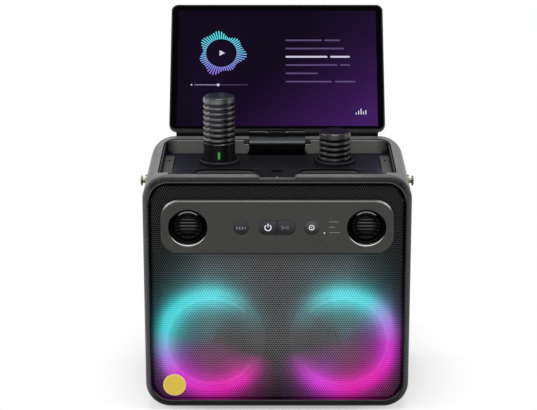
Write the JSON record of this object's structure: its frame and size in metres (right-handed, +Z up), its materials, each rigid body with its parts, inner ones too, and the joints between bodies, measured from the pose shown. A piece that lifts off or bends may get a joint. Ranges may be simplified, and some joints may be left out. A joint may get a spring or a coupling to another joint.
{
  "type": "karaoke machine",
  "caption": "Rounded portable karaoke machine with a perforated speaker front, a tray top holding docked microphones and a display that tilts on a rear hinge.",
  "frame": {"origin": "the floor below the middle of the whole model's box", "axes": "+X to the right seen from the front, +Y from the grille towards the rear, +Z up"},
  "size_m": [0.3736, 0.3345, 0.4957],
  "materials": {
    "shell_plastic": "fine speckled texture",
    "black_plastic": "matt moulded",
    "black_rubber": "matt",
    "grille_steel": "satin black coat",
    "trim_steel": "satin",
    "panel_plastic": "satin moulded",
    "button_plastic": "satin",
    "lens_white": "clear lens",
    "bright_chrome": "polished",
    "stud_brass": "satin",
    "badge_yellow": "satin coat",
    "woofer_paper": "pressed paper",
    "magnet_iron": "ground",
    "ring_light": "lit diffuser",
    "tray_plastic": "matt moulded",
    "strip_plastic": "fine texture",
    "mic_gloss": "polished black",
    "mic_green": "lit lens",
    "hinge_slate": "satin coat",
    "display_black": "satin",
    "band_metal": "dark anodised",
    "screen_glass": "polished",
    "screen_picture": "lit picture",
    "board_green": "solder mask",
    "battery_sleeve": "shrink sleeve"
  },
  "bodies": {
    "cabinet": {"outer_shell": "shell_plastic", "front_baffle": "black_plastic", "front_grille": "grille_steel", "grille_trim": "trim_steel", "rear_cover": "black_plastic", "feet": "black_rubber", "control_panel": "panel_plastic", "indicator_lenses": "lens_white", "button_board": "board_green", "round_badge": "badge_yellow", "tweeter_trim_left": "bright_chrome", "tweeter_trim_right": "bright_chrome", "tweeter_horn_left": "black_plastic", "tweeter_horn_right": "black_plastic", "tweeter_guard_left": "bright_chrome", "tweeter_guard_right": "bright_chrome", "tweeter_driver_left": "magnet_iron", "tweeter_driver_right": "magnet_iron", "woofer_basket_left": "black_plastic", "woofer_basket_right": "black_plastic", "woofer_surround_left": "black_rubber", "woofer_surround_right": "black_rubber", "woofer_cone_left": "woofer_paper", "woofer_cone_right": "woofer_paper", "woofer_magnet_left": "magnet_iron", "woofer_magnet_right": "magnet_iron", "light_ring_left": "ring_light", "light_ring_right": "ring_light", "top_tray": "tray_plastic", "tray_floor": "tray_plastic", "tray_strip_left": "strip_plastic", "tray_strip_right": "strip_plastic", "dock_collar_left": "mic_gloss", "dock_collar_right": "mic_gloss", "dock_tube_left": "black_plastic", "dock_tube_right": "black_plastic", "latch_stud": "bright_chrome", "hinge_bracket": "hinge_slate", "hinge_pin": "bright_chrome", "strap_washers": "stud_brass", "strap_studs": "bright_chrome", "power_inlet": "black_plastic", "main_board": "board_green", "battery_pack": "battery_sleeve"},
    "display": {"display_back": "display_black", "display_band": "band_metal", "display_glass": "screen_glass", "display_panel": "screen_picture"},
    "mic_left": {"mic_body_left": "mic_gloss", "mic_head_left": "mic_gloss", "mic_light_left": "mic_green"},
    "mic_right": {"mic_body_right": "mic_gloss", "mic_head_right": "mic_gloss", "mic_light_right": "mic_green"},
    "bass_key": {"bass_button": "button_plastic"},
    "power_key": {"power_button": "button_plastic"},
    "pair_key": {"pair_button": "button_plastic"},
    "record_key": {"record_button": "button_plastic"}
  },
  "joints": [
    {"name": "display_hinge", "type": "hinge", "parent": "cabinet", "child": "display", "pos_m": [0, 0.04185, 0.3347], "axis": [1, 0, 0], "range_deg": [-8, 42]},
    {"name": "mic_left_lift", "type": "slide", "parent": "cabinet", "child": "mic_left", "axis": [0, 0, 1], "range_m": [-0.05, 0.11]},
    {"name": "mic_right_lift", "type": "slide", "parent": "cabinet", "child": "mic_right", "axis": [0, 0, 1], "range_m": [0, 0.16]},
    {"name": "bass_press", "type": "slide", "parent": "cabinet", "child": "bass_key", "axis": [0, 1, 0], "range_m": [0, 0.0012], "stiffness_N_per_m": 800},
    {"name": "power_press", "type": "slide", "parent": "cabinet", "child": "power_key", "axis": [0, 1, 0], "range_m": [0, 0.0012], "stiffness_N_per_m": 800},
    {"name": "pair_press", "type": "slide", "parent": "cabinet", "child": "pair_key", "axis": [0, 1, 0], "range_m": [0, 0.0012], "stiffness_N_per_m": 800},
    {"name": "record_press", "type": "slide", "parent": "cabinet", "child": "record_key", "axis": [0, 1, 0], "range_m": [0, 0.0012], "stiffness_N_per_m": 800}
  ]
}
